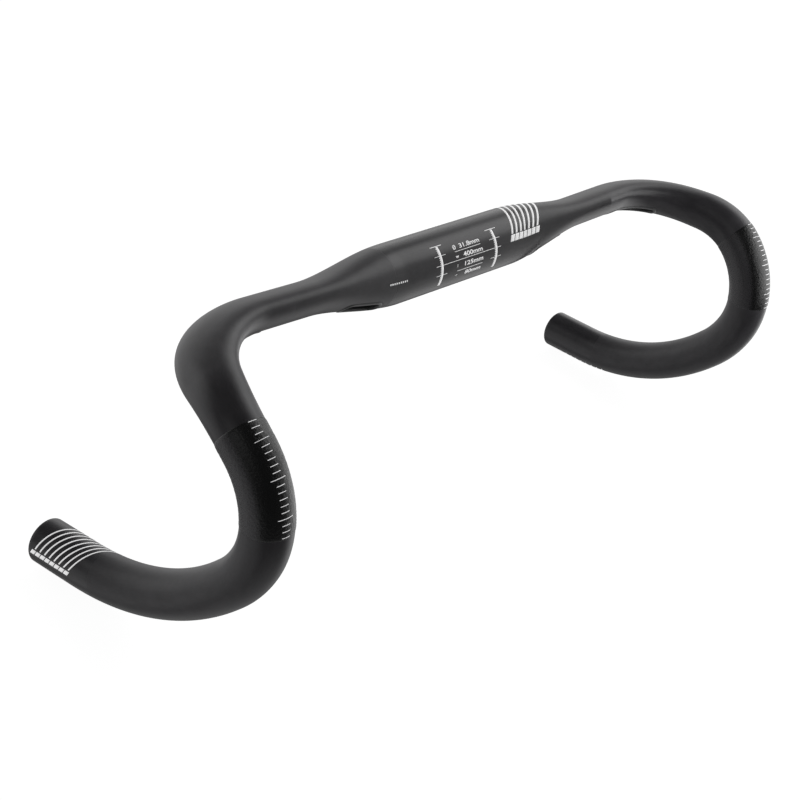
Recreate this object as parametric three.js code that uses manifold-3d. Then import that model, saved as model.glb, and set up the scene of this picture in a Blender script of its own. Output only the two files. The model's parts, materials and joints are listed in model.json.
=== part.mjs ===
// A carbon road drop handlebar. Millimetres: X runs along the bar, the rider faces -Y and +Z is up.
// The origin is the middle of the clamp zone's rear face, where the stem seats. The drop ends lie level.

import * as THREE from "three";
import { mergeVertices } from "three/addons/utils/BufferGeometryUtils.js";
import Module from "manifold-3d";

const wasm = await Module();
wasm.setup();

const degrees = THREE.MathUtils.degToRad;

// Driving dimensions of the bar
const CLAMP_DIAMETER = 31.8;
const GRIP_DIAMETER = 23.8; // hooks and drops, where the levers clamp
const HOOD_WIDTH = 400; // centre to centre, where the hooks reach furthest forward
const REACH = 80;
const DROP = 125;
const TOE_OUT = Math.tan(degrees(4.2)); // outward run of the hooks, per mm rearward
const TOP_RISE = 4.4;

// The flattened tops: an oval with its leading edge pitched up
const TOP_CHORD = 34;
const TOP_THICKNESS = 17.4;
const TOP_PITCH = degrees(30);

// Distances along the centreline from the middle of the bar
const CLAMP_END = 46;
const TOPS_START = 108; // the taper out of the clamp ends here
const TOPS_END = 152; // the oval starts to turn round here
const GRIP_START = 240; // and is round from here on
const BEND_START = 142; // the tops run straight up to here
const TUBE_JOINT = 128; // the drop tubes are bonded to the centre tube here
const BAND_START = 237;
const BAND_END = 280.4;

// Walls, gaps and films
const TUBE_WALL = 2.2;
const BOND_GAP = 0.3;
const JOINT_GAP = 0.3;
const SLEEVE_WALL = 1.5;
const SLEEVE_HALF_LENGTH = 13;
const CLAMP_SLEEVE_HALF_LENGTH = 42;
const BAND = { low: 0.1, high: 0.4 };
const PRINT = { low: 0.3, high: 0.4 };
const SIZE_FILM = { low: 0.1, high: 0.2 };
const LEVER_FILM = { low: 0.65, high: 0.8 };

const FACETS = 20; // round each tube
const STEP = 12; // along each tube
const PRINT_ROW = 3; // along each print
const PRINT_STEP = degrees(12); // and round it
const SLOT_POINTS = 24; // round each cable port
const WELD = 1e-5; // vertices closer than this are one

// Cable ports: centre along the bar, angle round it, length and width of the slot
const INNER_PORT = { along: 75, angle: degrees(-48), length: 26, width: 9 };
const OUTER_PORT = { along: 162, angle: degrees(-64), length: 42, width: 8 };
const PORT_CUT = { low: -6, high: 4 };
const RIM_WIDTH = 1;
const RIM_LIP = 0.35;

// Printed transfers on the clamp and the drop ends, at distances and angles of the bar
const TIE_OVERLAP = degrees(2);
const CENTRE_STRIPES = {
  count: 7,
  first: 37,
  pitch: 3.7,
  width: 1.5,
  from: degrees(32),
  to: degrees(150),
  barTo: degrees(18),
  shear: 7.3,
  fan: 0.6,
};
// The right end's rings go up over the drop, and the left end's go down under it.
const RIGHT_END_STRIPES = {
  count: 8,
  first: 426,
  pitch: 3.4,
  width: 0.9,
  from: degrees(175),
  to: degrees(330),
  barTo: degrees(160),
  shear: -7.3,
  fan: 0.32,
};
const LEFT_END_STRIPES = {
  ...RIGHT_END_STRIPES,
  from: 2 * Math.PI - RIGHT_END_STRIPES.from,
  to: 2 * Math.PI - RIGHT_END_STRIPES.to,
  barTo: 2 * Math.PI - RIGHT_END_STRIPES.barTo,
  shear: -RIGHT_END_STRIPES.shear,
  fan: -RIGHT_END_STRIPES.fan,
};
const SCALE_OFFSET = 22;
const SCALE_ARC = 1.4;
const SCALE_LINE = 0.4;
const SCALE_MARK = 4;
const SCALE_MIDDLE = degrees(16.5);
const SCALE_PITCH = 5; // between cross marks, round the clamp
const SCALE_STEPS = [-1, 0, 1, 2];
const SCALE_SPAN = [degrees(-25), degrees(53.5)];
const SIZE_PATCH = { from: -12.5, to: 12.5, low: degrees(-20), high: degrees(47) };
const MATERIAL_PATCH = { from: -62.5, to: -49, low: degrees(8), high: degrees(13) };
const LEVER_PATCH = { inset: 1, low: degrees(60), high: degrees(101) };

const CARBON = { color: 0x232325, roughness: 0.5, metalness: 0 };
const BARE_CARBON = { color: 0x18181a, roughness: 0.7, metalness: 0 };
const GRIT = { color: 0x0c0c0d, roughness: 0.35, metalness: 0 };
const RIM = { color: 0x37373a, roughness: 0.4, metalness: 0 };
const WHITE_PRINT = { color: 0xe9e9ec, roughness: 0.5, metalness: 0 };
const CLEAR_FILM = { color: 0x2c2c2f, roughness: 0.3, metalness: 0 };

// The corners of the half centreline, each rounded by its own radius.
function barCorners() {
  const corner = (x, forward, up, radius) => ({ at: new THREE.Vector3(x, -forward, up), radius });
  const hook = (forward, up, radius) =>
    corner(HOOD_WIDTH / 2 + (REACH - forward) * TOE_OUT, forward, up, radius);
  return [
    corner(0, 0, 0, 0),
    corner(CLAMP_END + 3, 0, 0, 60),
    corner(HOOD_WIDTH / 2 - 20, 1.4, TOP_RISE, 55),
    hook(REACH - 25.5, -4.3, 41.8),
    hook(REACH + 9.5, -38.9, 46),
    hook(REACH - 9.2, -78.7, 60.5),
    hook(22.5, -DROP, 134),
    hook(-58.5, -DROP, 0),
  ];
}

// A straight piece of the centreline: at(d) is the point and direction a distance d along it.
function straightPiece(from, to) {
  const tangent = to.clone().sub(from).normalize();
  return {
    length: from.distanceTo(to),
    at: (d) => ({ point: from.clone().addScaledVector(tangent, d), tangent }),
  };
}

// A circular piece that leaves start along tangent and bends towards inward.
function arcPiece(start, tangent, inward, radius, angle) {
  const centre = start.clone().addScaledVector(inward, radius);
  return {
    length: radius * angle,
    at(d) {
      const turned = d / radius;
      const point = centre.clone().addScaledVector(inward, -radius * Math.cos(turned));
      point.addScaledVector(tangent, radius * Math.sin(turned));
      const heading = tangent.clone().multiplyScalar(Math.cos(turned));
      return { point, tangent: heading.addScaledVector(inward, Math.sin(turned)) };
    },
  };
}

// The half bar as straight and circular pieces, from its middle to the drop end.
function centrelinePieces(corners) {
  const pieces = [];
  let from = corners[0].at;
  for (let i = 1; i < corners.length - 1; i++) {
    const { at, radius } = corners[i];
    const before = at.clone().sub(corners[i - 1].at).normalize();
    const after = corners[i + 1].at.clone().sub(at).normalize();
    const angle = before.angleTo(after);
    const setback = radius * Math.tan(angle / 2);
    const start = at.clone().addScaledVector(before, -setback);
    const inward = after.clone().addScaledVector(before, -after.dot(before)).normalize();
    pieces.push(straightPiece(from, start), arcPiece(start, before, inward, radius, angle));
    from = at.clone().addScaledVector(after, setback);
  }
  pieces.push(straightPiece(from, corners.at(-1).at));
  return pieces;
}

// Each piece gets the distance where it starts and the bar's upward direction there.
function placePieces(pieces) {
  let start = 0;
  let up = new THREE.Vector3(0, 0, 1);
  return pieces.map((piece) => {
    const placed = { ...piece, start, up };
    const [before, after] = [0, piece.length].map((d) => piece.at(d).tangent);
    up = up.clone().applyQuaternion(new THREE.Quaternion().setFromUnitVectors(before, after));
    start += piece.length;
    return placed;
  });
}

const PIECES = placePieces(centrelinePieces(barCorners()));
const BAR_END = PIECES.at(-1).start + PIECES.at(-1).length;

// The bar's point, front and up directions at a distance along the centreline. They turn without twist.
function frameAt(distance) {
  const piece = PIECES.findLast((p) => p.start <= distance) ?? PIECES[0];
  const { point, tangent } = piece.at(distance - piece.start);
  const turn = new THREE.Quaternion().setFromUnitVectors(piece.at(0).tangent, tangent);
  const up = piece.up.clone().applyQuaternion(turn);
  return { point, up, front: tangent.clone().cross(up) };
}

// Half chord and half thickness of the oval section: round at the clamp, flat on the tops, round again.
function sectionAt(distance) {
  const flatten = THREE.MathUtils.smoothstep(distance, CLAMP_END, TOPS_START);
  const rounding = THREE.MathUtils.smoothstep(distance, TOPS_END, GRIP_START);
  const size = (top) => {
    const outboard = THREE.MathUtils.lerp(top, GRIP_DIAMETER, rounding);
    return THREE.MathUtils.lerp(CLAMP_DIAMETER, outboard, flatten) / 2;
  };
  return { chord: size(TOP_CHORD), thickness: size(TOP_THICKNESS) };
}

// A point on the bar: angle 0 faces front and 90 degrees up, and lift is the height over the outer skin.
// Negative distances are the mirrored half.
function surfacePoint(distance, angle, lift) {
  const { point, up, front } = frameAt(Math.abs(distance));
  const { chord, thickness } = sectionAt(Math.abs(distance));
  const turn = angle - TOP_PITCH;
  const alongChord = chord * Math.cos(turn);
  const acrossChord = thickness * Math.sin(turn);
  const normal = new THREE.Vector2(thickness * Math.cos(turn), chord * Math.sin(turn)).normalize();
  const skin = new THREE.Vector2(alongChord, acrossChord).addScaledVector(normal, lift);
  const { x: forward, y: upward } = skin.rotateAround(new THREE.Vector2(), TOP_PITCH);
  const result = point.addScaledVector(front, forward).addScaledVector(up, upward);
  if (distance < 0) result.x *= -1;
  return result;
}

// Evenly spaced values from start to end, no further apart than step.
function spaced(start, end, step) {
  const count = Math.max(1, Math.ceil(Math.abs(end - start) / step - 1e-9));
  return Array.from({ length: count + 1 }, (_, i) => start + ((end - start) * i) / count);
}

const BAND_ROWS = spaced(BAND_START, BAND_END, STEP);
const RING = Array.from({ length: FACETS }, (_, i) => ((i + 0.5) * 2 * Math.PI) / FACETS);

// A closed body between two heights over the skin, on a grid of rising distances and angles.
// A whole ring of angles closes on itself, and any other grid gets side walls.
// Shear moves the grid along the bar, per radian from the angle where it starts.
function skinBody(distances, angles, { low, high }, shear = 0, shearFrom = 0) {
  const whole = angles === RING;
  const positions = [];
  for (const distance of distances) {
    for (const angle of angles) {
      const along = distance + shear * (angle - shearFrom);
      positions.push(...surfacePoint(along, angle, low).toArray());
      positions.push(...surfacePoint(along, angle, high).toArray());
    }
  }
  const across = angles.length;
  const id = (i, j, layer) => 2 * (i * across + (j % across)) + layer;
  const triangles = [];
  const quad = (a, b, c, d) => triangles.push(a, b, c, a, c, d);
  const lastRow = distances.length - 1;
  const columns = whole ? across : across - 1;
  for (let i = 0; i < lastRow; i++) {
    for (let j = 0; j < columns; j++) {
      quad(id(i, j, 1), id(i + 1, j, 1), id(i + 1, j + 1, 1), id(i, j + 1, 1));
      quad(id(i, j, 0), id(i, j + 1, 0), id(i + 1, j + 1, 0), id(i + 1, j, 0));
    }
    if (!whole) {
      quad(id(i, 0, 0), id(i + 1, 0, 0), id(i + 1, 0, 1), id(i, 0, 1));
      quad(id(i, columns, 0), id(i, columns, 1), id(i + 1, columns, 1), id(i + 1, columns, 0));
    }
  }
  for (let j = 0; j < columns; j++) {
    quad(id(0, j, 0), id(0, j, 1), id(0, j + 1, 1), id(0, j + 1, 0));
    quad(id(lastRow, j, 0), id(lastRow, j + 1, 0), id(lastRow, j + 1, 1), id(lastRow, j, 1));
  }
  const geometry = new THREE.BufferGeometry();
  geometry.setAttribute("position", new THREE.Float32BufferAttribute(positions, 3));
  geometry.setIndex(triangles);
  return geometry;
}

// A full tube wall between two distances.
function tubeBody(distances, wallLift) {
  return skinBody(distances, RING, wallLift);
}

function toManifold(geometry) {
  const bare = geometry.clone();
  bare.deleteAttribute("normal");
  bare.deleteAttribute("uv");
  const merged = mergeVertices(bare, WELD);
  const mesh = new wasm.Mesh({
    numProp: 3,
    vertProperties: new Float32Array(merged.attributes.position.array),
    triVerts: new Uint32Array(merged.index.array),
  });
  return new wasm.Manifold(mesh);
}

function fromManifold(solid) {
  const { vertProperties, triVerts } = solid.getMesh();
  const geometry = new THREE.BufferGeometry();
  geometry.setAttribute("position", new THREE.BufferAttribute(vertProperties, 3));
  geometry.setIndex(new THREE.BufferAttribute(triVerts, 1));
  return geometry;
}

const cut = (geometry, tools) =>
  fromManifold(tools.reduce((solid, tool) => solid.subtract(toManifold(tool)), toManifold(geometry)));

const join = (geometries) =>
  fromManifold(geometries.map(toManifold).reduce((solid, other) => solid.add(other)));

// The same body on the other side of the bar.
function mirrored(geometry) {
  const other = geometry.clone();
  other.scale(-1, 1, 1);
  const index = other.index.array;
  for (let i = 0; i < index.length; i += 3) {
    [index[i], index[i + 1]] = [index[i + 1], index[i]];
  }
  return other;
}

// A round-ended slot outline, length along X.
function slotOutline(length, width) {
  const radius = width / 2;
  const straight = length / 2 - radius;
  const outline = new THREE.Shape();
  outline.absarc(straight, 0, radius, -Math.PI / 2, Math.PI / 2, false);
  outline.absarc(-straight, 0, radius, Math.PI / 2, (3 * Math.PI) / 2, false);
  outline.closePath();
  return outline;
}

// The outline's points, with the long sides divided so that they can follow the bar.
function slotPoints(length, width) {
  return slotOutline(length, width).getSpacedPoints(SLOT_POINTS).slice(0, -1);
}

// A flat outline wrapped onto the bar at a port, as a solid between two heights over the skin.
function wrappedSolid(shape, port, { low, high }) {
  const flat = new THREE.ExtrudeGeometry(shape, { depth: 1, bevelEnabled: false });
  flat.deleteAttribute("normal");
  flat.deleteAttribute("uv");
  const body = mergeVertices(flat, WELD);
  const position = body.attributes.position;
  const radius = surfacePoint(port.along, port.angle, 0).distanceTo(frameAt(port.along).point);
  for (let i = 0; i < position.count; i++) {
    const distance = port.along + position.getX(i);
    const angle = port.angle + position.getY(i) / radius;
    const lift = THREE.MathUtils.lerp(low, high, position.getZ(i));
    position.setXYZ(i, ...surfacePoint(distance, angle, lift).toArray());
  }
  return body;
}

function portCutter(port) {
  return wrappedSolid(new THREE.Shape(slotPoints(port.length, port.width)), port, PORT_CUT);
}

// The moulded lip that lines a cable port.
function portRim(port) {
  const outside = new THREE.Shape(slotPoints(port.length - 2 * BOND_GAP, port.width - 2 * BOND_GAP));
  const inset = 2 * (BOND_GAP + RIM_WIDTH);
  outside.holes.push(new THREE.Path(slotPoints(port.length - inset, port.width - inset)));
  return wrappedSolid(outside, port, { low: -TUBE_WALL, high: RIM_LIP });
}

// A thin printed patch between two distances and two angles, slanted by shear from the first angle on.
function printPatch(from, to, angle, otherAngle, { shear = 0, layer = PRINT } = {}) {
  const angles = spaced(Math.min(angle, otherAngle), Math.max(angle, otherAngle), PRINT_STEP);
  return skinBody(spaced(from, to, PRINT_ROW), angles, layer, shear, angle);
}

// Slanted rings of print side by side, tied by one bar along their first ends.
function stripeBlock({ count, first, pitch, width, from, to, barTo, shear, fan }) {
  const last = first + (count - 1) * pitch;
  const rings = Array.from({ length: count }, (_, i) => {
    const start = first + i * pitch;
    return printPatch(start, start + width, from, to, { shear: shear + i * fan });
  });
  const tie = from + TIE_OVERLAP * Math.sign(to - from);
  return join([printPatch(first, last + width, barTo, tie), ...rings]);
}

// Two scales round the clamp, each a thin arc with cross marks, tied by the long centre mark.
function stemScale() {
  const half = SCALE_LINE / CLAMP_DIAMETER;
  const marks = [printPatch(-SCALE_OFFSET, SCALE_OFFSET, SCALE_MIDDLE - half, SCALE_MIDDLE + half)];
  for (const middle of [-SCALE_OFFSET, SCALE_OFFSET]) {
    marks.push(printPatch(middle - SCALE_ARC / 2, middle + SCALE_ARC / 2, ...SCALE_SPAN));
    for (const step of SCALE_STEPS) {
      const angle = SCALE_MIDDLE + (step * SCALE_PITCH * 2) / CLAMP_DIAMETER;
      marks.push(printPatch(middle - SCALE_MARK, middle + SCALE_MARK, angle - half, angle + half));
    }
  }
  return join(marks);
}

// The bar is drawn round its own axis, and moved forward so that the clamp's rear facet is at the origin.
const bar = new THREE.Group();
bar.position.y = (-CLAMP_DIAMETER / 2) * Math.cos(Math.PI / FACETS);

function addPart(name, geometry, finish) {
  const faceted = geometry.toNonIndexed();
  faceted.computeVertexNormals();
  const mesh = new THREE.Mesh(faceted, new THREE.MeshStandardMaterial(finish));
  mesh.name = name;
  bar.add(mesh);
}

// A part on the +X side, which is the rider's left, and its mirror image on the right.
function addPair(name, geometry, finish) {
  addPart(`left_${name}`, geometry, finish);
  addPart(`right_${name}`, mirrored(geometry), finish);
}

function centreTube() {
  const end = TUBE_JOINT - JOINT_GAP / 2;
  const half = [...spaced(CLAMP_END, TOPS_START, STEP), end];
  const distances = [...half.toReversed().map((d) => -d), ...half];
  const port = portCutter(INNER_PORT);
  return cut(tubeBody(distances, { low: -TUBE_WALL, high: 0 }), [port, mirrored(port)]);
}

function dropTube() {
  const start = TUBE_JOINT + JOINT_GAP / 2;
  const beforeBand = spaced(BEND_START, BAND_START, STEP);
  const afterBand = spaced(BAND_END, BAR_END, STEP).slice(1);
  const distances = [start, ...beforeBand, ...BAND_ROWS.slice(1), ...afterBand];
  return cut(tubeBody(distances, { low: -TUBE_WALL, high: 0 }), [portCutter(OUTER_PORT)]);
}

function innerSleeve(distances) {
  const high = -TUBE_WALL - BOND_GAP;
  return tubeBody(distances, { low: high - SLEEVE_WALL, high });
}

const plainPatch = ({ from, to, low, high }, layer) => printPatch(from, to, low, high, { layer });

// The clear strip on the front of the grip band that carries the lever marks.
function leverScaleFilm() {
  const { inset, low, high } = LEVER_PATCH;
  return plainPatch({ from: BAND_START + inset, to: BAND_END - inset, low, high }, LEVER_FILM);
}

addPart("centre_tube", centreTube(), CARBON);
addPair("drop_tube", dropTube(), CARBON);
addPart(
  "clamp_reinforcement_sleeve",
  innerSleeve([-CLAMP_SLEEVE_HALF_LENGTH, CLAMP_SLEEVE_HALF_LENGTH]),
  BARE_CARBON,
);
addPair(
  "joint_sleeve",
  innerSleeve([TUBE_JOINT - SLEEVE_HALF_LENGTH, TUBE_JOINT + SLEEVE_HALF_LENGTH]),
  BARE_CARBON,
);
addPair("inner_port_rim", portRim(INNER_PORT), RIM);
addPair("outer_port_rim", portRim(OUTER_PORT), RIM);
addPair("lever_grip_band", tubeBody(BAND_ROWS, BAND), GRIT);
addPair("lever_scale_film", leverScaleFilm(), CLEAR_FILM);
addPart("stem_scale_print", stemScale(), WHITE_PRINT);
addPart("size_film", plainPatch(SIZE_PATCH, SIZE_FILM), CLEAR_FILM);
addPart("material_mark_print", plainPatch(MATERIAL_PATCH, PRINT), WHITE_PRINT);
addPart("centre_stripe_print", stripeBlock(CENTRE_STRIPES), WHITE_PRINT);
addPart("left_end_stripe_print", stripeBlock(LEFT_END_STRIPES), WHITE_PRINT);
addPart("right_end_stripe_print", mirrored(stripeBlock(RIGHT_END_STRIPES)), WHITE_PRINT);

export default bar;
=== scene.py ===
"""A carbon road drop handlebar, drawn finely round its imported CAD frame.

Shapes are worked out in millimetres on the bar's own axis: a distance along the centreline, an angle
round it (0 faces front, 90 degrees up at the clamp) and a lift over the outer skin.
"""

import json
import math

import bmesh
import bpy
import numpy as np
from mathutils import Matrix, Vector, noise

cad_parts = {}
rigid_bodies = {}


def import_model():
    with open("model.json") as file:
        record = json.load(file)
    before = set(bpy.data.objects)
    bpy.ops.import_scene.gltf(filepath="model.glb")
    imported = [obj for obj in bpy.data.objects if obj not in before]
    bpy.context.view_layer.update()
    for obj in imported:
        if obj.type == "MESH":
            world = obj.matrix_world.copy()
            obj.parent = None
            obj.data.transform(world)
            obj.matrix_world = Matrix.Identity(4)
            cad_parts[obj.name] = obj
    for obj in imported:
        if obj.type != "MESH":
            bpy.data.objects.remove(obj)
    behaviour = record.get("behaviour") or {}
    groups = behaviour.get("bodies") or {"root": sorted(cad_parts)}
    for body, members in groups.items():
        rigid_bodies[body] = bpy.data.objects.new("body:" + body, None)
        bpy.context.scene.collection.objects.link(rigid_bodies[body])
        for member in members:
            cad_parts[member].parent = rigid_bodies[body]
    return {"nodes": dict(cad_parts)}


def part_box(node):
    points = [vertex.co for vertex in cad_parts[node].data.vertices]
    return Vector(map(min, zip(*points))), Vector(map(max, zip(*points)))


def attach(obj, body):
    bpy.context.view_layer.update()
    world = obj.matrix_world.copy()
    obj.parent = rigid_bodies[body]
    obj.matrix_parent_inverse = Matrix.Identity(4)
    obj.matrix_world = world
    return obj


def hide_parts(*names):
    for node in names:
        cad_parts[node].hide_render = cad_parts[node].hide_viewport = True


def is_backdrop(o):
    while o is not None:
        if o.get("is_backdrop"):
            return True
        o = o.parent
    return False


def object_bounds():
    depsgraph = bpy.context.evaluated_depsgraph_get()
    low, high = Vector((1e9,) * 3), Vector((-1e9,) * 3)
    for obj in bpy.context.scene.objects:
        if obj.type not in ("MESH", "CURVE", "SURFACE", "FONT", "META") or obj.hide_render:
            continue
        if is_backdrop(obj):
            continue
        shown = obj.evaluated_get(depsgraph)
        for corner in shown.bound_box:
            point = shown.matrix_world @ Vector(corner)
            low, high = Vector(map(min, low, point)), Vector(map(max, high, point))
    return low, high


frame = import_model()
scene = bpy.context.scene
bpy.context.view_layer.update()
MM = 0.001

# Driving dimensions of the bar, in millimetres
CLAMP_DIAMETER = 31.8
GRIP_DIAMETER = 23.8
HOOD_WIDTH = 400
REACH = 80
DROP = 125
TOE_OUT = math.tan(math.radians(4.2))  # slope
TOP_RISE = 4.4
TOP_CHORD = 34
TOP_THICKNESS = 17.4
TOP_PITCH = math.radians(30)
TUBE_WALL = 2.2

# Distances along the centreline
CLAMP_END = 46
TOPS_START = 108
TOPS_END = 152
GRIP_START = 240
TUBE_JOINT = 128
BAND_START = 237
BAND_END = 280.4

# The bar's axis passes through the middle of the centre tube's front and rear faces.
AXIS_Y = sum(corner.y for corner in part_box("centre_tube")) / 2

# Mesh fineness
COLUMNS = 144
ROW_STEP = 2
HOLD = 0.03  # a row this close to a sharp edge keeps the skin's shading flat
END_ROUND = 0.5  # radius of the drop ends' outer edge
END_TURNS = (0, 30, 60, 90)  # the rows that round it, in degrees
PRINT_STEP = 1.0
PRINT_TURN = 2.5  # degrees
TICK_TURN = 1.5
WELD = 1e-5

# Cable ports: centre along the bar, angle round it, length and width of the slot
INNER_PORT = {"along": 75, "angle": math.radians(-48), "length": 26, "width": 9}
OUTER_PORT = {"along": 162, "angle": math.radians(-64), "length": 42, "width": 8}
PORT_MARGIN = 5
PORT_LOOPS = 6
PORT_EDGE = 0.3  # a ring this deep in the slot keeps its edge crisp

# Section of a port's lip, as offsets outward from the slot's edge and lifts over the skin
LIP_SECTION = [
    (-1.1, -TUBE_WALL), (-1.1, -0.1), (-0.95, 0.18), (-0.6, 0.34), (-0.2, 0.36),
    (0.25, 0.24), (0.55, 0.03), (-0.1, 0.03), (-0.1, -TUBE_WALL),
]
LIP_END_POINTS = 17
LIP_SIDE_POINTS = 23

# Friction coat round the hooks
GRIT_COLUMNS = 240
GRIT_STEP = 0.32
SKIN_GAP = 0.01
GRIT_BASE = 0.06
GRIT_HEIGHT = 0.26
GRIT_FADE = (-0.2, 1.2)  # distances in from the coat's edges over which the grains grow
GRAINS = 1.1  # per millimetre
FINE_GRAINS = 2.3
FINE_SHIFT = Vector((7, 3, 5))
COARSE_SHARE = 0.65

# Printed marks: distances in millimetres, angles in degrees, slants (shear) in millimetres per radian
INK_LOW = 0.02
INK_HIGH = 0.06
INK_GAP = 0.03
LINE_WIDTH = 0.25
HATCH_SHARE = 0.84  # of the stripes' pitch
HATCH_LEAD = 0.4
CENTRE_STRIPES = {
    "count": 7, "first": 37, "pitch": 3.7, "width": 1.5, "from": 32, "to": 150, "bar": (30.5, 18),
    "shear": 7.3, "fan": 0.6,
}
RIGHT_END_STRIPES = {
    "count": 8, "first": 426, "pitch": 3.4, "width": 0.85, "from": 175, "to": 330, "bar": (171, 159),
    "shear": -7.3, "fan": 0.32,
}
LEFT_END_STRIPES = {
    "count": 8, "first": 426, "pitch": 3.4, "width": 0.85, "from": 185, "to": 30, "bar": (189, 201),
    "shear": 7.3, "fan": -0.32,
}
MATERIAL_DASHES = {
    "count": 9, "first": -62, "pitch": 1.55, "width": 0.7, "from": 8.8, "to": 12.2, "shear": 2.0,
}

# Lever scale
LEVER_TICKS = 19
LEVER_LONG_TICKS = (3, 9, 15)
LEVER_MIDDLE = 80
LEVER_REACH = 10
LEVER_LONG_REACH = 19
FIRST_TICK = BAND_START + 0.4
LAST_TICK = BAND_END - 0.8
TICK_WIDTH = 0.22
TICK_LOW = 0.01  # over the friction coat
TICK_HIGH = 0.08

# Stem scale: two arcs with a row of teeth and three marks each, a cap on both, and a line between them
SCALE_OFFSETS = (-21.7, 22.6)
SCALE_SPAN = (-25, 53.5)
SCALE_MIDDLE = 17
SCALE_MARK_ANGLES = (-1.5, SCALE_MIDDLE, 35)
ARC_WIDTH = 1.6
TEETH_SPAN = (-23, 52.5)
TOOTH_PITCH = 1.0
TOOTH_WIDTH = 0.32
TOOTH_REACH = 0.55
LEFT_MARK = (3.7, 0.6)  # reach and gap beside the arc
RIGHT_MARK = (3.2, INK_GAP)
CAP_REACH = 3.9
CAP_RISE = 1.2
CAP_WIDTH = 0.36
MIDDLE_LINE = (-17.7, 18.0)

# Size lines: text, first and last distance, middle angle and height
FIGURE_HEIGHT = 2.3
SIZE_TEXTS = [
    ("Ø", -10.9, -8.6, 42.5, FIGURE_HEIGHT),
    (f"{CLAMP_DIAMETER}mm", -5.8, 10.4, 42.5, FIGURE_HEIGHT),
    ("w", -10.5, -8.1, 24.5, 1.5),
    (f"{HOOD_WIDTH}mm", -4.4, 11.4, 24.5, FIGURE_HEIGHT),
    (f"{DROP}mm", -3.6, 11.4, 6.5, FIGURE_HEIGHT),
    (f"{REACH}mm", -2.4, 10.6, -12.5, FIGURE_HEIGHT),
]
SIZE_RULES = [(-10.4, 10.4, 33.8), (-9.4, 11.2, -4), (-10.4, -8.6, -12.5)]  # from, to, angle
DROP_SIGN = (-9.6, 3.5, 9.5)  # distance, lowest and highest angle of an upright line
SIZE_LINE_WIDTH = 0.26
FONT_SHARE = 0.69  # height of the font's figures, as a share of its size
FONT_BOLD = 0.065  # added to the font's strokes


def hook_corner(forward, up, radius):
    """A corner of the hook, whose plane turns outward towards the rear."""
    return (HOOD_WIDTH / 2 + (REACH - forward) * TOE_OUT, -forward, up), radius


# Corners of the half bar's centreline, each with the radius of its bend
CORNERS = [
    ((0, 0, 0), 0),
    ((CLAMP_END + 3, 0, 0), 60),
    ((HOOD_WIDTH / 2 - 20, -1.4, TOP_RISE), 55),
    hook_corner(REACH - 25.5, -4.3, 41.8),
    hook_corner(REACH + 9.5, -38.9, 46),
    hook_corner(REACH - 9.2, -78.7, 60.5),
    hook_corner(22.5, -DROP, 134),
    hook_corner(-58.5, -DROP, 0),
]


def unit(vector):
    return vector / np.linalg.norm(vector)


def centreline_pieces():
    """The half bar as straight and circular pieces, each with its start distance, axes and up direction."""
    points = [np.array(point, float) for point, _ in CORNERS]
    pieces = []
    start, origin, up = 0.0, points[0], np.array([0.0, 0.0, 1.0])
    for i in range(1, len(points)):
        radius = CORNERS[i][1]
        tangent = unit(points[i] - points[i - 1])
        last = i == len(points) - 1
        after = tangent if last else unit(points[i + 1] - points[i])
        angle = math.acos(min(1.0, float(tangent @ after)))
        setback = radius * math.tan(angle / 2)
        bend_at = points[i] - tangent * setback
        length = float(np.linalg.norm(bend_at - origin))
        pieces.append({"start": start, "origin": origin, "tangent": tangent, "up": up, "radius": None})
        start += length
        if last:
            break
        inward = unit(after - tangent * (after @ tangent))
        bend = {"start": start, "origin": bend_at, "tangent": tangent, "up": up, "radius": radius}
        pieces.append({**bend, "inward": inward})
        side = np.cross(tangent, inward)
        up = side * (up @ side) + (up @ inward) * (inward * math.cos(angle) - tangent * math.sin(angle))
        start += radius * angle
        origin = points[i] + after * setback
    return pieces, start


PIECES, BAR_END = centreline_pieces()


def frames_at(distance):
    """Points, fronts and ups of the centreline at an array of distances (not negative)."""
    point, up, tangent = (np.zeros(distance.shape + (3,)) for _ in range(3))
    starts = [piece["start"] for piece in PIECES]
    which = np.clip(np.searchsorted(starts, distance, side="right") - 1, 0, len(PIECES) - 1)
    for k, piece in enumerate(PIECES):
        mask = which == k
        run = (distance[mask] - piece["start"])[:, None]
        heading, rise = piece["tangent"], piece["up"]
        if piece["radius"] is None:
            point[mask] = piece["origin"] + run * heading
            tangent[mask] = heading
            up[mask] = rise
            continue
        radius, inward = piece["radius"], piece["inward"]
        cosine, sine = np.cos(run / radius), np.sin(run / radius)
        side = np.cross(heading, inward)
        point[mask] = piece["origin"] + inward * radius * (1 - cosine) + heading * radius * sine
        tangent[mask] = heading * cosine + inward * sine
        up[mask] = side * (rise @ side) + (rise @ inward) * (inward * cosine - heading * sine)
    return point, np.cross(tangent, up), up


def smoothstep(value, low, high):
    t = np.clip((value - low) / (high - low), 0, 1)
    return t * t * (3 - 2 * t)


def section_at(distance):
    """Half chord and half thickness: round at the clamp, oval on the tops, round on the hooks."""
    flatten = smoothstep(distance, CLAMP_END, TOPS_START)
    rounding = smoothstep(distance, TOPS_END, GRIP_START)

    def half(top):
        outboard = top + (GRIP_DIAMETER - top) * rounding
        return (CLAMP_DIAMETER + (outboard - CLAMP_DIAMETER) * flatten) / 2

    return half(TOP_CHORD), half(TOP_THICKNESS)


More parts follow.
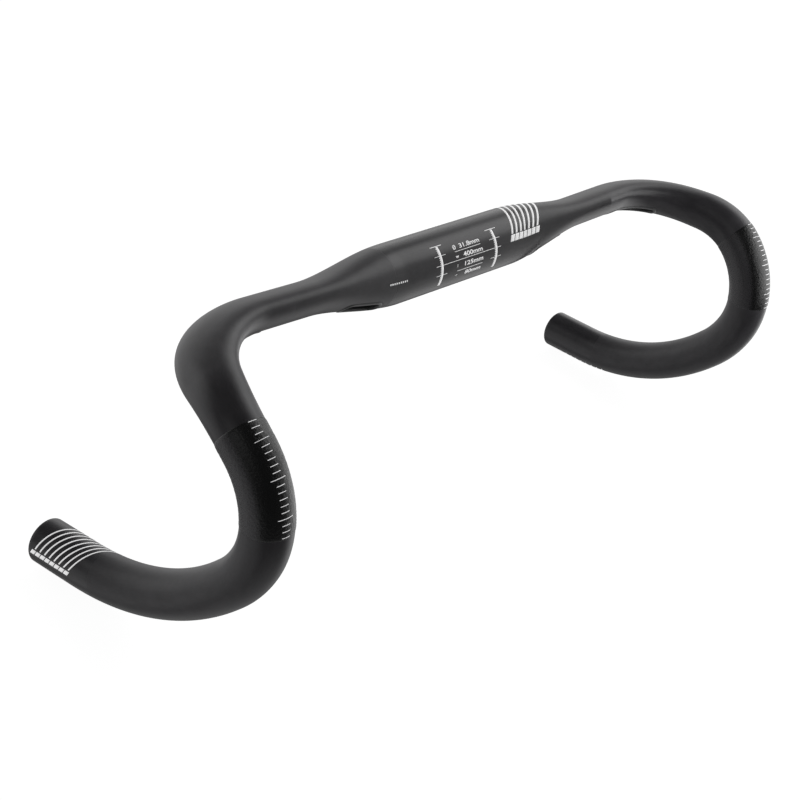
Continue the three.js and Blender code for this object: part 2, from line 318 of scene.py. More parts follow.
def surface(distance, angle, lift):
    """Row-frame points, in metres, for broadcast arrays. Negative distances are the mirrored half."""
    distance, angle, lift = np.broadcast_arrays(*(np.asarray(v, float) for v in (distance, angle, lift)))
    point, front, up = frames_at(np.abs(distance))
    chord, thickness = section_at(np.abs(distance))
    turn = angle - TOP_PITCH
    normal = np.stack([thickness * np.cos(turn), chord * np.sin(turn)], -1)
    normal /= np.linalg.norm(normal, axis=-1, keepdims=True)
    along_chord = chord * np.cos(turn) + normal[..., 0] * lift
    across_chord = thickness * np.sin(turn) + normal[..., 1] * lift
    cosine, sine = math.cos(TOP_PITCH), math.sin(TOP_PITCH)
    forward = along_chord * cosine - across_chord * sine
    upward = along_chord * sine + across_chord * cosine
    result = point + front * forward[..., None] + up * upward[..., None]
    result[..., 0] = np.where(distance < 0, -result[..., 0], result[..., 0])
    result *= MM
    result[..., 1] += AXIS_Y
    return result


def spaced(start, end, step):
    """Evenly spaced values from start to end, no further apart than step."""
    count = max(1, math.ceil(abs(end - start) / step - 1e-9))
    return np.linspace(start, end, count + 1)


RING = np.arange(COLUMNS) * 2 * math.pi / COLUMNS
MEAN_RADIUS = GRIP_DIAMETER / 2


class Body:
    """Collects vertices given as (distance, angle, lift) and faces, and becomes one mesh object."""

    def __init__(self):
        self.skin, self.faces, self.count = [], [], 0

    def add(self, distance, angle, lift):
        """Adds vertices for broadcast arrays and returns their indices in that shape."""
        values = np.broadcast_arrays(*(np.asarray(v, float) for v in (distance, angle, lift)))
        self.skin.append(np.stack(values, -1).reshape(-1, 3))
        size = values[0].size
        indices = np.arange(self.count, self.count + size).reshape(values[0].shape)
        self.count += size
        return indices

    def sheet(self, indices, wrap_rows=False, wrap_columns=False, holes=()):
        """Faces between neighbouring rows and columns of an index grid, but none in the holes."""
        rows, columns = indices.shape
        for i in range(rows if wrap_rows else rows - 1):
            for j in range(columns if wrap_columns else columns - 1):
                if any(hole.covers(i, j) for hole in holes):
                    continue
                k, m = (i + 1) % rows, (j + 1) % columns
                self.faces.append((indices[i, j], indices[k, j], indices[k, m], indices[i, m]))

    def build(self, name, material, replaces, mirrored=False):
        """Makes the object, in place and riding on the one body."""
        skin = np.concatenate(self.skin)
        sign = -1 if mirrored else 1
        points = surface(np.abs(skin[:, 0]) if mirrored else skin[:, 0], skin[:, 1], skin[:, 2])
        points[:, 0] *= sign
        faces = [tuple(int(v) for v in (face[::-1] if mirrored else face)) for face in self.faces]
        mesh = bpy.data.meshes.new(name)
        mesh.from_pydata(points.tolist(), [], faces)
        face_outward(mesh)
        layout = mesh.uv_layers.new(name="bar")
        corner = np.array([loop.vertex_index for loop in mesh.loops])
        bar_uv = np.stack([skin[:, 0], skin[:, 1] * MEAN_RADIUS], -1)[corner]
        layout.data.foreach_set("uv", bar_uv.astype(np.float32).ravel())
        mesh.polygons.foreach_set("use_smooth", np.ones(len(mesh.polygons), bool))
        mesh.materials.append(material)
        mesh.update()
        return place(bpy.data.objects.new(name, mesh), replaces)


def face_outward(mesh):
    """Turns every face of a closed mesh the same way, out of the solid."""
    shape = bmesh.new()
    shape.from_mesh(mesh)
    bmesh.ops.recalc_face_normals(shape, faces=shape.faces)
    shape.to_mesh(mesh)
    shape.free()


def place(piece, replaces):
    """Adds a piece to the scene, in place of CAD nodes."""
    scene.collection.objects.link(piece)
    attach(piece, "root")
    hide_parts(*replaces)
    return piece


class Hole:
    """A slot cut through a grid: a block of cells is left out, and rings of faces close in on the slot."""

    def __init__(self, port, distances, side):
        self.port = port
        self.along = side * port["along"]
        self.angle = port["angle"] % (2 * math.pi)
        self.radius = section_radius(port)
        reach_x = port["length"] / 2 + PORT_MARGIN
        reach_y = (port["width"] / 2 + PORT_MARGIN) / self.radius
        self.rows = span_of(distances, self.along - reach_x, self.along + reach_x)
        self.columns = span_of(RING, self.angle - reach_y, self.angle + reach_y)

    def covers(self, i, j):
        return self.rows[0] <= i < self.rows[1] and self.columns[0] <= j < self.columns[1]

    def border(self):
        """Row and column of each grid vertex round the block."""
        (r0, r1), (c0, c1) = self.rows, self.columns
        there = [(r, c0) for r in range(r0, r1)] + [(r1, c) for c in range(c0, c1)]
        back = [(r, c1) for r in range(r1, r0, -1)] + [(r0, c) for c in range(c1, c0, -1)]
        return there + back

    def slot_points(self, distance, angle):
        """The points of the slot's outline that lie nearest to points of the skin."""
        straight = (self.port["length"] - self.port["width"]) / 2
        x = distance - self.along
        y = (angle - self.angle) * self.radius
        centre = np.clip(x, -straight, straight)
        shrink = self.port["width"] / 2 / np.hypot(x - centre, y)
        return self.along + centre + (x - centre) * shrink, self.angle + y * shrink / self.radius


def section_radius(port):
    """Distance from the centreline to the skin at a port, which turns widths there into angles."""
    chord, thickness = section_at(np.array(float(port["along"])))
    turn = port["angle"] - TOP_PITCH
    return float(math.hypot(chord * math.cos(turn), thickness * math.sin(turn)))


def span_of(values, low, high):
    """First and last index of the sorted values that enclose low and high."""
    return int(np.searchsorted(values, low) - 1), int(np.searchsorted(values, high))


def tube(name, distances, ports, replaces, mirrored=False, rounded_end=False):
    """A hollow tube with its end faces and cable ports, as one closed body."""
    body = Body()
    start, end = distances[0], distances[-1]
    rows = [(start, 0.0), (start + HOLD, 0.0)] + [(distance, 0.0) for distance in distances[1:-1]]
    if rounded_end:
        turns = np.radians(END_TURNS)
        rows += [(end - END_ROUND * (1 - math.sin(t)), -END_ROUND * (1 - math.cos(t))) for t in turns]
    else:
        rows += [(end - HOLD, 0.0), (end, 0.0)]
    along, lift = np.array(rows).T
    outer = body.add(along[:, None], RING[None, :], lift[:, None])
    inner = body.add(along[:, None], RING[None, :], -TUBE_WALL)
    holes = [Hole(port, along, side) for port, side in ports]
    body.sheet(outer, wrap_columns=True, holes=holes)
    body.sheet(inner[::-1], wrap_columns=True, holes=[Flipped(hole, len(along)) for hole in holes])
    for ends in ((inner[:1], outer[:1]), (outer[-1:], inner[-1:])):
        body.sheet(np.concatenate(ends), wrap_columns=True)
    for hole in holes:
        cut_port(body, hole, along, outer, inner)
    return body.build(name, MATERIALS["satin_carbon"], replaces, mirrored)


def cut_port(body, hole, along, outer, inner):
    """Closes the skins in on a hole's slot, and joins them through the wall."""
    rows, columns = np.array(hole.border()).T
    x, y = along[rows], RING[columns]
    slot_x, slot_y = hole.slot_points(x, y)

    def loops(share_from, lift):
        shares = np.linspace(0, 1, PORT_LOOPS + 1)[share_from:]
        return [body.add(x + (slot_x - x) * share, y + (slot_y - y) * share, lift) for share in shares]

    outside = [outer[rows, columns]] + loops(1, 0.0) + loops(PORT_LOOPS, -PORT_EDGE)
    inside = [inner[rows, columns]] + loops(1, -TUBE_WALL)
    body.sheet(np.array(outside + inside[::-1]), wrap_columns=True)


class Flipped:
    """The same hole in a grid whose rows run the other way."""

    def __init__(self, hole, count):
        self.hole, self.last = hole, count - 2

    def covers(self, i, j):
        return self.hole.covers(self.last - i, j)


def port_rim(name, port, replaces, mirrored=False):
    """The moulded lip that lines a cable port, a rounded section swept round the slot."""
    body = Body()
    radius = section_radius(port)
    straight = (port["length"] - port["width"]) / 2
    end = np.full(LIP_END_POINTS, straight)
    side = np.linspace(-straight, straight, LIP_SIDE_POINTS + 2)[1:-1]
    centre = np.concatenate([end, side[::-1], -end, side])
    half_turn = np.linspace(-math.pi / 2, math.pi / 2, LIP_END_POINTS)
    quarter = np.full(LIP_SIDE_POINTS, math.pi / 2)
    turn = np.concatenate([half_turn, quarter, half_turn + math.pi, -quarter])
    rows = []
    for offset, lift in LIP_SECTION:
        reach = port["width"] / 2 + offset
        x = port["along"] + centre + reach * np.cos(turn)
        y = port["angle"] + reach * np.sin(turn) / radius
        rows.append(body.add(x, y, lift))
    body.sheet(np.array(rows), wrap_rows=True, wrap_columns=True)
    return body.build(name, MATERIALS["port_rim"], replaces, mirrored)


def slab(body, distances, angles, low, high):
    """A thin closed body between two lifts over a grid."""
    top, under = body.add(distances, angles, high), body.add(distances, angles, low)
    body.sheet(top)
    body.sheet(under[:, ::-1])
    body.sheet(np.array([border_loop(top), border_loop(under)]), wrap_columns=True)


def patch(body, distances, angles, shear=0.0):
    """Print on the skin. Shear slants it, per radian from the first angle."""
    distances, angles = np.asarray(distances, float), np.asarray(angles, float)
    along = distances[:, None] + shear * (angles - angles[0])[None, :]
    slab(body, along, angles[None, :], INK_LOW, INK_HIGH)


def border_loop(grid):
    """The indices round a grid's edge."""
    return np.concatenate([grid[0, :-1], grid[:-1, -1], grid[-1, :0:-1], grid[:0:-1, 0]])


def strip(body, start, width, angle, other_angle, shear=0.0):
    """A printed strip, given by distances in millimetres and angles in degrees."""
    angles = spaced(math.radians(angle), math.radians(other_angle), math.radians(PRINT_TURN))
    patch(body, spaced(start, start + width, PRINT_STEP), angles, shear)


def stripe_block(name, layout, replaces, mirrored=False):
    """Slanted rings of print side by side, over a plain hatched bar."""
    body = Body()
    for i in range(layout["count"]):
        start = layout["first"] + i * layout["pitch"]
        slant = layout["shear"] + i * layout["fan"]
        strip(body, start, layout["width"], layout["from"], layout["to"], slant)
        strip(body, start - HATCH_LEAD, layout["pitch"] * HATCH_SHARE, *layout["bar"], layout["shear"])
    return body.build(name, MATERIALS["white_print"], replaces, mirrored)


def angle_width(width):
    """Degrees that a width in millimetres takes round the clamp."""
    return math.degrees(width * 2 / CLAMP_DIAMETER)


def cross_line(body, start, end, angle, width=LINE_WIDTH):
    """A thin printed line along the bar."""
    half = angle_width(width) / 2
    patch(body, spaced(start, end, PRINT_STEP), np.radians([angle - half, angle, angle + half]))


def stem_scale():
    """Two graduated arcs round the clamp with cross marks, and the long centre line between them."""
    body = Body()
    for offset in SCALE_OFFSETS:
        low, high = offset - ARC_WIDTH / 2, offset + ARC_WIDTH / 2
        strip(body, low, ARC_WIDTH, *SCALE_SPAN)
        half = angle_width(TOOTH_WIDTH) / 2
        for angle in np.arange(*TEETH_SPAN, angle_width(TOOTH_PITCH)):
            patch(body, [low - TOOTH_REACH, low - INK_GAP], np.radians([angle - half, angle + half]))
        cross_line(body, low - CAP_REACH, high + RIGHT_MARK[0], SCALE_SPAN[1] + CAP_RISE, CAP_WIDTH)
        for angle in SCALE_MARK_ANGLES:
            cross_line(body, low - LEFT_MARK[0], low - LEFT_MARK[1], angle)
            cross_line(body, high + RIGHT_MARK[1], high + RIGHT_MARK[0], angle)
    cross_line(body, *MIDDLE_LINE, SCALE_MIDDLE)
    return body.build("stem_scale", MATERIALS["white_print"], ["stem_scale_print"])


def lettering(body, text, left, right, middle_angle, height):
    """Bold figures from Blender's own font, fitted between two distances on the clamp as thin solids."""
    curve = bpy.data.curves.new("figures", "FONT")
    curve.body = text
    curve.size = height / FONT_SHARE
    curve.extrude = (INK_HIGH - INK_LOW) / 2
    curve.offset = FONT_BOLD
    curve.resolution_u = 3
    holder = bpy.data.objects.new("figures", curve)
    scene.collection.objects.link(holder)
    bpy.context.view_layer.update()
    flat = bpy.data.meshes.new_from_object(holder.evaluated_get(bpy.context.evaluated_depsgraph_get()))
    bpy.data.objects.remove(holder)
    bpy.data.curves.remove(curve)
    shape = bmesh.new()
    shape.from_mesh(flat)
    bmesh.ops.remove_doubles(shape, verts=shape.verts, dist=WELD)
    bmesh.ops.triangulate(shape, faces=shape.faces)
    points = np.array([v.co for v in shape.verts])
    angle = math.radians(middle_angle) + (points[:, 1] - height / 2) * 2 / CLAMP_DIAMETER
    share = (points[:, 0] - points[:, 0].min()) / np.ptp(points[:, 0])
    indices = body.add(left + (right - left) * share, angle, points[:, 2] + (INK_LOW + INK_HIGH) / 2)
    body.faces += [tuple(indices[v.index] for v in face.verts) for face in shape.faces]
    shape.free()
    bpy.data.meshes.remove(flat)


def size_print():
    """The bar's own sizes, with ruled lines between them."""
    body = Body()
    for line in SIZE_TEXTS:
        lettering(body, *line)
    for rule in SIZE_RULES:
        cross_line(body, *rule, SIZE_LINE_WIDTH)
    distance, low, high = DROP_SIGN
    strip(body, distance, SIZE_LINE_WIDTH, low, high)
    return body.build("size_figures", MATERIALS["white_print"], ["size_film"])


def material_mark():
    """A short row of plain dashes beside the clamp."""
    body = Body()
    layout = MATERIAL_DASHES
    for i in range(layout["count"]):
        start = layout["first"] + i * layout["pitch"]
        strip(body, start, layout["width"], layout["from"], layout["to"], layout["shear"])
    return body.build("material_dashes", MATERIALS["white_print"], ["material_mark_print"])


def grit_lift(distance, angle):
    """Height of the friction coat over the skin, coarse and bumpy, thinning out at its two edges."""
    points = surface(np.abs(distance), angle, 0.0) / MM
    height = np.array([grain(Vector(p)) for p in points.reshape(-1, 3)]).reshape(distance.shape)
    edge = np.minimum(distance - BAND_START, BAND_END - distance)
    return GRIT_BASE + GRIT_HEIGHT * height * smoothstep(edge, *GRIT_FADE)


def grain(point):
    """Rounded grains about a millimetre across, with finer ones between them, from 0 to 1."""
    coarse = noise.noise(point * GRAINS) * 0.5 + 0.5
    fine = noise.noise(point * FINE_GRAINS + FINE_SHIFT) * 0.5 + 0.5
    return min(1.0, max(0.0, COARSE_SHARE * coarse + (1 - COARSE_SHARE) * fine))


def grip_band(name, replaces, mirrored=False):
    """The friction coat round the hook, a closed sleeve with a bumpy outside."""
    body = Body()
    along = spaced(BAND_START, BAND_END, GRIT_STEP)
    angles = np.arange(GRIT_COLUMNS) * 2 * math.pi / GRIT_COLUMNS
    grid = np.broadcast_arrays(along[:, None], angles[None, :])
    outer = body.add(*grid, grit_lift(*grid))
    inner = body.add(spaced(BAND_END, BAND_START, ROW_STEP)[:, None], angles[None, :], SKIN_GAP)
    body.sheet(np.concatenate([outer, inner]), wrap_rows=True, wrap_columns=True)
    return body.build(name, MATERIALS["grip_grit"], replaces, mirrored)


def lever_scale(name, replaces, mirrored=False):
    """Graduations across the front of the hook, printed over the friction coat."""
    body = Body()
    for i, middle in enumerate(np.linspace(FIRST_TICK, LAST_TICK, LEVER_TICKS)):
        reach = LEVER_LONG_REACH if i in LEVER_LONG_TICKS else LEVER_REACH
        angles = np.radians(spaced(LEVER_MIDDLE - reach, LEVER_MIDDLE + reach, TICK_TURN))
        across = np.linspace(middle - TICK_WIDTH / 2, middle + TICK_WIDTH / 2, 3)
        grid = np.broadcast_arrays(across[:, None], angles[None, :])
        coat = grit_lift(*grid)
        slab(body, *grid, coat + TICK_LOW, coat + TICK_HIGH)
    return body.build(name, MATERIALS["white_print"], replaces, mirrored)


# ---------------------------------------------------------------- materials


class Nodes:
    """Short names for building a node material."""

    def __init__(self, name):
        self.material = bpy.data.materials.new(name)
        self.material.use_nodes = True
        self.tree = self.material.node_tree
        self.shader = self.tree.nodes["Principled BSDF"]

    def node(self, kind, **values):
        """A new node, with properties or inputs set."""
        made = self.tree.nodes.new(kind)
        for key, value in values.items():
            if hasattr(made, key):
                setattr(made, key, value)
            else:
                made.inputs[key].default_value = value
        return made

    def link(self, source, target):
        self.tree.links.new(source, target)

    def set(self, **values):
        """Fixed inputs of the shader, with underscores for spaces."""
        for key, value in values.items():
            self.shader.inputs[key.replace("_", " ")].default_value = value

    def math(self, operation, *values):
        """A sum on numbers or other nodes' outputs."""
        made = self.node("ShaderNodeMath", operation=operation)
        for socket, value in zip(made.inputs, values):
            if isinstance(value, (int, float)):
                socket.default_value = value
            else:
                self.link(value, socket)
        return made.outputs[0]

    def ranged(self, source, low, high, to_low, to_high, smooth=False):
        """A value carried from one range over to another, and clamped there."""
        made = self.node("ShaderNodeMapRange")
        if smooth:
            made.interpolation_type = "SMOOTHSTEP"
        for name, value in (("From Min", low), ("From Max", high), ("To Min", to_low), ("To Max", to_high)):
            made.inputs[name].default_value = value
        self.link(source, made.inputs["Value"])
        return made.outputs[0]

    def mapped(self, scale=(1, 1, 1), kind="UV"):
        """Texture coordinates, scaled. The UV map holds millimetres along the bar and round it."""
        source = self.node("ShaderNodeTexCoord").outputs[kind]
        mapping = self.node("ShaderNodeMapping")
        mapping.inputs["Scale"].default_value = scale
        self.link(source, mapping.inputs["Vector"])
        return mapping.outputs[0]

    def on_bar(self):
        """Distance along the bar and arc round it, in millimetres."""
        parts = self.node("ShaderNodeSeparateXYZ")
        self.link(self.mapped(), parts.inputs[0])
        return parts.outputs[0], parts.outputs[1]

    def noise(self, vector, scale, detail=3.0, roughness=0.5):
        made = self.node("ShaderNodeTexNoise")
        for name, value in (("Scale", scale), ("Detail", detail), ("Roughness", roughness)):
            made.inputs[name].default_value = value
        self.link(vector, made.inputs["Vector"])
        return made.outputs[0]

    def bump(self, height, strength, distance):
        made = self.node("ShaderNodeBump")
        made.inputs["Strength"].default_value = strength
        made.inputs["Distance"].default_value = distance
        self.link(height, made.inputs["Height"])
        self.link(made.outputs[0], self.shader.inputs["Normal"])

    def tint(self, factor, low, high):
        """Base colour between two colours."""
        mix = self.node("ShaderNodeMix", data_type="RGBA")
        self.link(factor, mix.inputs[0])
        mix.inputs[6].default_value = (*low, 1)
        mix.inputs[7].default_value = (*high, 1)
        self.link(mix.outputs[2], self.shader.inputs["Base Color"])


# Colours are linear RGB.
CARBON_DARK = (0.030, 0.0285, 0.032)
CARBON_LIGHT = (0.060, 0.0575, 0.063)
COAT_SPECULAR = 0.36
SATIN_ROUGHNESS = (0.33, 0.38)
GLOSS_ROUGHNESS = 0.21

# The glossier films begin and end over these distances along the bar.
CLAMP_FILM_START = (-57.2, -56.4)
CLAMP_FILM_END = (60, 66)
END_FILM_START = (413, 414)


def satin_carbon():
    """Unidirectional carbon under a satin coat, glossier over the clamp and the drop ends."""
    n = Nodes("satin_carbon")
    distance, _ = n.on_bar()
    fibres = n.noise(n.mapped((0.05, 2.2, 1)), 1.0, 4.0, 0.6)
    cloud = n.noise(n.mapped((0.6, 1, 1)), 0.16, 4.0, 0.65)
    speck = n.noise(n.mapped(), 2.4, 2.0)
    mottle = n.math("MULTIPLY_ADD", fibres, 0.35, n.math("MULTIPLY", n.ranged(cloud, 0.3, 0.7, 0, 1), 0.65))
    n.tint(mottle, CARBON_DARK, CARBON_LIGHT)
    streaks = n.ranged(fibres, 0.3, 0.7, -0.02, 0.02)
    satin = n.math("ADD", n.ranged(speck, 0.3, 0.7, *SATIN_ROUGHNESS), streaks)
    film_start = n.ranged(distance, *CLAMP_FILM_START, 0, 1)
    film_end = n.ranged(distance, *CLAMP_FILM_END, 1, 0)
    end_film = n.ranged(n.math("ABSOLUTE", distance), *END_FILM_START, 0, 1)
    gloss = n.math("MAXIMUM", n.math("MULTIPLY", film_start, film_end), end_film)
    rough = n.node("ShaderNodeMix")
    n.link(gloss, rough.inputs[0])
    n.link(satin, rough.inputs[2])
    rough.inputs[3].default_value = GLOSS_ROUGHNESS
    n.set(Specular_IOR_Level=COAT_SPECULAR)
    n.link(rough.outputs[0], n.shader.inputs["Roughness"])
    n.bump(n.math("MULTIPLY_ADD", fibres, 0.4, n.math("MULTIPLY", speck, 0.6)), 0.3, 0.0001)
    return n.material


def bare_carbon():
    """Uncoated carbon, for the sleeves inside the tubes. Its coordinates are in metres."""
    n = Nodes("bare_carbon")
    fibres = n.noise(n.mapped((60, 900, 900), "Object"), 1.0, 4.0, 0.6)
    n.tint(fibres, (0.008, 0.008, 0.009), (0.02, 0.02, 0.021))
    n.link(n.ranged(fibres, 0.3, 0.7, 0.5, 0.7), n.shader.inputs["Roughness"])
    n.bump(fibres, 0.2, 0.0001)
    return n.material


def port_rim_tone_and_highlight():
    """Smooth grey moulding, painted lighter than its own dark tone: partly its own colour, partly a painted
    highlight for the lip's lit upper edge.
    """
    n = Nodes("port_rim")
    speck = n.noise(n.mapped(), 2.6, 3.0)
    # The lighter grey is partly painted highlight, standing in for the bright line along the lip's upper
    # edge.
    n.tint(speck, (0.07, 0.07, 0.072), (0.11, 0.11, 0.113))
    n.link(n.ranged(speck, 0.3, 0.7, 0.3, 0.4), n.shader.inputs["Roughness"])
    n.bump(speck, 0.1, 0.0001)
    return n.material


GRIT_BLACK = (0.004, 0.004, 0.0045)
# The lighter grey below is painted light for the coat's lit sides, not a colour of the coat.
GRIT_PAINTED_LIT_TONE = (0.042, 0.040, 0.044)
GRIT_EDGE = (10.5, 13.5)  # millimetres round from the scale's middle: black inside, painted lighter outside as painted light on the hook's lit sides
GRIT_RAGGED = 1.5
GRIT_SPECULAR = 0.45
GRIT_ROUGHNESS = (0.22, 0.36)


def grip_grit():
    """Grains in a glossy binder, black over the hook's front and painted lighter beside it, to the tube's
    tone: painted light on the hook's lit sides.
    """
    n = Nodes("grip_grit")
    _, arc = n.on_bar()
    coarse = n.noise(n.mapped(), 1.6, 3.0, 0.6)
    fine = n.noise(n.mapped(), 5.0, 2.0)
    middle = math.radians(LEVER_MIDDLE) * MEAN_RADIUS
    off_middle = n.math("ABSOLUTE", n.math("SUBTRACT", arc, middle))
    ragged = n.math("ADD", off_middle, n.ranged(coarse, 0.3, 0.7, -GRIT_RAGGED, GRIT_RAGGED))
    # Painted light: the coat is painted lighter round its sides, where the hook is lit, and left black at
    # its front.
    n.tint(n.ranged(ragged, *GRIT_EDGE, 0, 1, smooth=True), GRIT_BLACK, GRIT_PAINTED_LIT_TONE)
    n.set(Specular_IOR_Level=GRIT_SPECULAR)
    n.link(n.ranged(coarse, 0.35, 0.65, *GRIT_ROUGHNESS), n.shader.inputs["Roughness"])
    n.bump(n.math("MULTIPLY_ADD", coarse, 0.7, n.math("MULTIPLY", fine, 0.3)), 0.6, 0.0003)
    return n.material


# Painted light: the print's emission makes the ink glow though it is no lamp.
PRINT_PAINTED_GLOW = 0.45


def white_print():
    """White ink, a little uneven, with a painted glow, an emission that keeps it white in the dark studio.
    """
    n = Nodes("white_print")
    n.set(Emission_Color=(1, 1, 1, 1), Emission_Strength=PRINT_PAINTED_GLOW)
    cloud = n.noise(n.mapped(), 0.9, 3.0)
    n.tint(cloud, (0.84, 0.84, 0.86), (0.92, 0.92, 0.93))
    n.link(n.ranged(cloud, 0.3, 0.7, 0.35, 0.45), n.shader.inputs["Roughness"])
    n.bump(cloud, 0.05, 0.0001)
    return n.material


MATERIALS = {
    "satin_carbon": satin_carbon(),
    "bare_carbon": bare_carbon(),
    "port_rim": port_rim_tone_and_highlight(),
    "grip_grit": grip_grit(),
    "white_print": white_print(),
}


# ---------------------------------------------------------------- pieces


def make_tubes():
    """The three tubes' skins. The centre tube has a row of vertices at each end of the clamp zone."""
    right = spaced(-TUBE_JOINT, -CLAMP_END, ROW_STEP)
    clamp = spaced(-CLAMP_END, CLAMP_END, ROW_STEP)
    left = spaced(CLAMP_END, TUBE_JOINT, ROW_STEP)
    centre = [*right, *clamp[1:], *left[1:]]
    tube("centre_tube_skin", centre, [(INNER_PORT, -1), (INNER_PORT, 1)], ["centre_tube"])
    drop = spaced(TUBE_JOINT, BAR_END, ROW_STEP)
    for side, mirrored in (("left", False), ("right", True)):
        name = f"{side}_drop_tube"
        tube(f"{name}_skin", drop, [(OUTER_PORT, 1)], [name], mirrored, rounded_end=True)


def make_sides():
    """Port lips, friction coats and lever scales on both sides."""
    for side, mirrored in (("left", False), ("right", True)):
        port_rim(f"{side}_inner_port_lip", INNER_PORT, [f"{side}_inner_port_rim"], mirrored)
        port_rim(f"{side}_outer_port_lip", OUTER_PORT, [f"{side}_outer_port_rim"], mirrored)
        grip_band(f"{side}_grit_coat", [f"{side}_lever_grip_band"], mirrored)
        lever_scale(f"{side}_lever_marks", [f"{side}_lever_scale_film"], mirrored)


make_tubes()
make_sides()
stem_scale()
size_print()
material_mark()
stripe_block("centre_stripes", CENTRE_STRIPES, ["centre_stripe_print"])
stripe_block("left_end_stripes", LEFT_END_STRIPES, ["left_end_stripe_print"])
stripe_block("right_end_stripes", RIGHT_END_STRIPES, ["right_end_stripe_print"], mirrored=True)

# The hidden sleeves keep their CAD meshes.
for node_name in ("clamp_reinforcement_sleeve", "left_joint_sleeve", "right_joint_sleeve"):
    data = frame["nodes"][node_name].data
    data.materials.clear()
    data.materials.append(MATERIALS["bare_carbon"])


# ---------------------------------------------------------------- stage, light and camera

scene.view_settings.view_transform = "Standard"


FLOOR_REACH = 6.0
FLOOR_GAP = 0.001
FLOOR_TONE = 0.25
FLOOR_GLOW = 0.95


def floor():
    """A plain pale floor that the camera sees, and that neither lights nor shades the bar."""
    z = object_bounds()[0].z - FLOOR_GAP
    corners = [(x * FLOOR_REACH, y * FLOOR_REACH, z) for x, y in ((-1, -1), (1, -1), (1, 1), (-1, 1))]
    mesh = bpy.data.meshes.new("floor")
    mesh.from_pydata(corners, [], [(0, 1, 2, 3)])
    piece = bpy.data.objects.new("floor", mesh)
    scene.collection.objects.link(piece)
    piece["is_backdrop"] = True
    n = Nodes("floor")
    n.set(Base_Color=(FLOOR_TONE, FLOOR_TONE, FLOOR_TONE, 1), Roughness=1.0, Specular_IOR_Level=0.0)
    n.set(Emission_Color=(1, 1, 1, 1), Emission_Strength=FLOOR_GLOW)
    mesh.materials.append(n.material)
    piece.visible_diffuse = False
    piece.visible_glossy = False
    piece.visible_shadow = False


# Softboxes round the bar: azimuth (0 in front, 90 on its left) and elevation, then the angles off it at
# which the light starts to fade and is gone, and its strength. The front stays dark, as in the photograph.
SOFTBOXES = {
    "key": (79, 36, 6, 27, 1.55),
    "key_side": (132, 20, 8, 20, 0.5),
    "left_wall": (85, 6, 18, 54, 1.05),
    "left_low": (82, -26, 12, 36, 0.55),
    "rear": (168, 3, 16, 50, 0.65),
    "rear_right": (-152, 18, 6, 26, 0.75),
    "right_wall": (-79, 27, 6, 26, 0.5),
    "right_low": (-135, -20, 12, 38, 0.55),
    "right_under": (-90, -34, 6, 26, 0.45),
    "under": (53, -83, 18, 55, 0.35),
}
ROOM_LIGHT = 0.09
BACKDROP = 1.0


def world():
    """Softboxes for the light, and a plain white backdrop for the camera."""
    made = bpy.data.worlds.new("studio")
    scene.world = made
    made.use_nodes = True
    tree = made.node_tree
    direction = tree.nodes.new("ShaderNodeTexCoord").outputs["Generated"]
    room = tree.nodes.new("ShaderNodeValue")
    room.outputs[0].default_value = ROOM_LIGHT
    total = room.outputs[0]
    for softbox in SOFTBOXES.values():
        add = tree.nodes.new("ShaderNodeMath")
        tree.links.new(total, add.inputs[0])
        tree.links.new(glow(tree, direction, *softbox), add.inputs[1])
        total = add.outputs[0]
    seen = tree.nodes.new("ShaderNodeLightPath").outputs["Is Camera Ray"]
    choose = tree.nodes.new("ShaderNodeMix")
    tree.links.new(seen, choose.inputs[0])
    tree.links.new(total, choose.inputs[2])
    choose.inputs[3].default_value = BACKDROP
    background = tree.nodes["Background"]
    background.inputs[0].default_value = (1, 1, 1, 1)
    tree.links.new(choose.outputs[0], background.inputs[1])


def glow(tree, direction, azimuth, elevation, inner, outer, strength):
    """A softbox's light in a direction: full within its inner angle, and none beyond its outer angle."""
    towards = tree.nodes.new("ShaderNodeVectorMath")
    towards.operation = "DOT_PRODUCT"
    tree.links.new(direction, towards.inputs[0])
    towards.inputs[1].default_value = direction_to(azimuth, elevation)
    fade = tree.nodes.new("ShaderNodeMapRange")
    fade.interpolation_type = "SMOOTHSTEP"
    fade.inputs["From Min"].default_value = math.cos(math.radians(outer))
    fade.inputs["From Max"].default_value = math.cos(math.radians(inner))
    fade.inputs["To Max"].default_value = strength
    tree.links.new(towards.outputs["Value"], fade.inputs["Value"])
    return fade.outputs[0]


# One softbox stands close in front of the left hook, in metres, and reaches only the left drop's pieces.
PANEL_PLACE = Vector((0.28, -0.22, 0.02))
PANEL_TARGET = Vector((0.2, -0.03, -0.05))
PANEL_SIDE = 0.2
PANEL_RADIANCE = 2.4


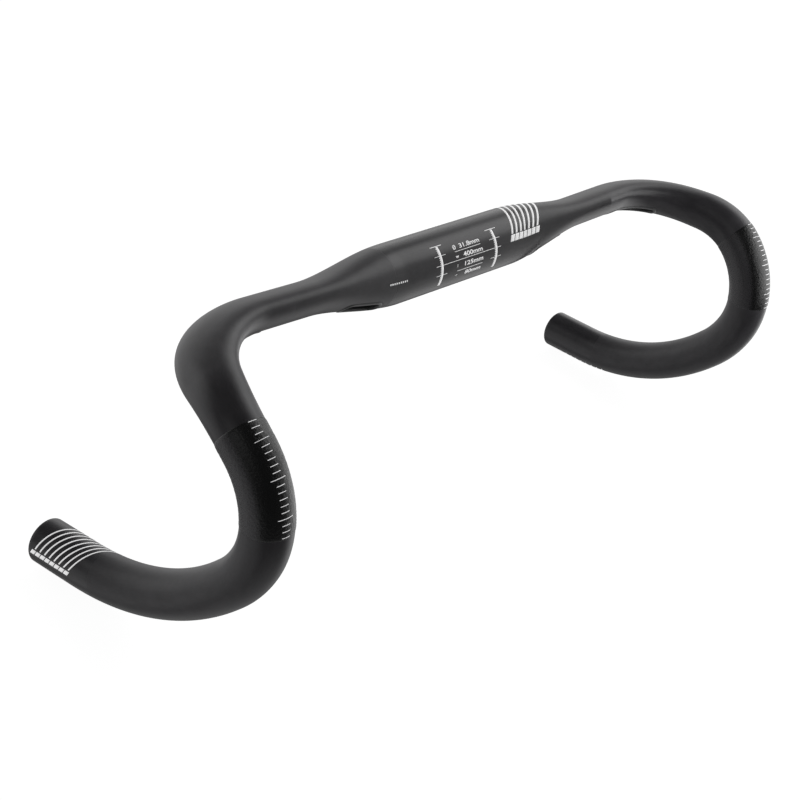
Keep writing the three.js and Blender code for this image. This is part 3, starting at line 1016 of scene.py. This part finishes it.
def near_panel():
    """The close softbox, out of the camera's sight."""
    light = bpy.data.lights.new("near_panel", "AREA")
    light.shape = "SQUARE"
    light.size = PANEL_SIDE
    light.energy = math.pi * PANEL_RADIANCE * PANEL_SIDE * PANEL_SIDE
    panel = bpy.data.objects.new("near_panel", light)
    scene.collection.objects.link(panel)
    panel.location = PANEL_PLACE
    panel.rotation_euler = (PANEL_PLACE - PANEL_TARGET).to_track_quat("Z", "Y").to_euler()
    panel.visible_camera = False
    lit = bpy.data.collections.new("lit_by_near_panel")
    for piece in list(scene.objects):
        if piece.name.startswith("left_"):
            lit.objects.link(piece)
    panel.light_linking.receiver_collection = lit


def direction_to(azimuth, elevation):
    """The unit vector towards an azimuth (0 in front, 90 on the bar's left) and elevation, in degrees."""
    a, e = math.radians(azimuth), math.radians(elevation)
    return Vector((math.sin(a) * math.cos(e), -math.cos(a) * math.cos(e), math.sin(e)))


# Fitted to the photograph's outline. Offset says how far the clamp's middle lies right of, above and in
# front of the camera, in millimetres. The focal length is in picture widths.
CAMERA = {
    "azimuth": -51.4, "elevation": 28.0, "roll": 7.6, "offset": (24.4, 76.7, 777.3), "focal": 1.8395,
}
SENSOR = 36
CLIP_START = 0.01


def camera():
    """A camera at the photograph's angle."""
    azimuth, roll = math.radians(CAMERA["azimuth"]), math.radians(CAMERA["roll"])
    back = direction_to(CAMERA["azimuth"], CAMERA["elevation"])
    level = Vector((math.cos(azimuth), math.sin(azimuth), 0))
    upright = level.cross(-back)
    right = level * math.cos(roll) + upright * math.sin(roll)
    up = upright * math.cos(roll) - level * math.sin(roll)
    x, y, depth = CAMERA["offset"]
    axis = Vector((0, AXIS_Y, 0))
    place_at = axis + (back * depth - right * x - up * y) * MM
    lens = bpy.data.cameras.new("camera")
    lens.sensor_width = SENSOR
    lens.lens = SENSOR * CAMERA["focal"]
    lens.clip_start = CLIP_START
    made = bpy.data.objects.new("camera", lens)
    scene.collection.objects.link(made)
    rotation = Matrix((right, up, back)).transposed()
    made.matrix_world = Matrix.Translation(place_at) @ rotation.to_4x4()
    scene.camera = made


floor()
world()
near_panel()
camera()
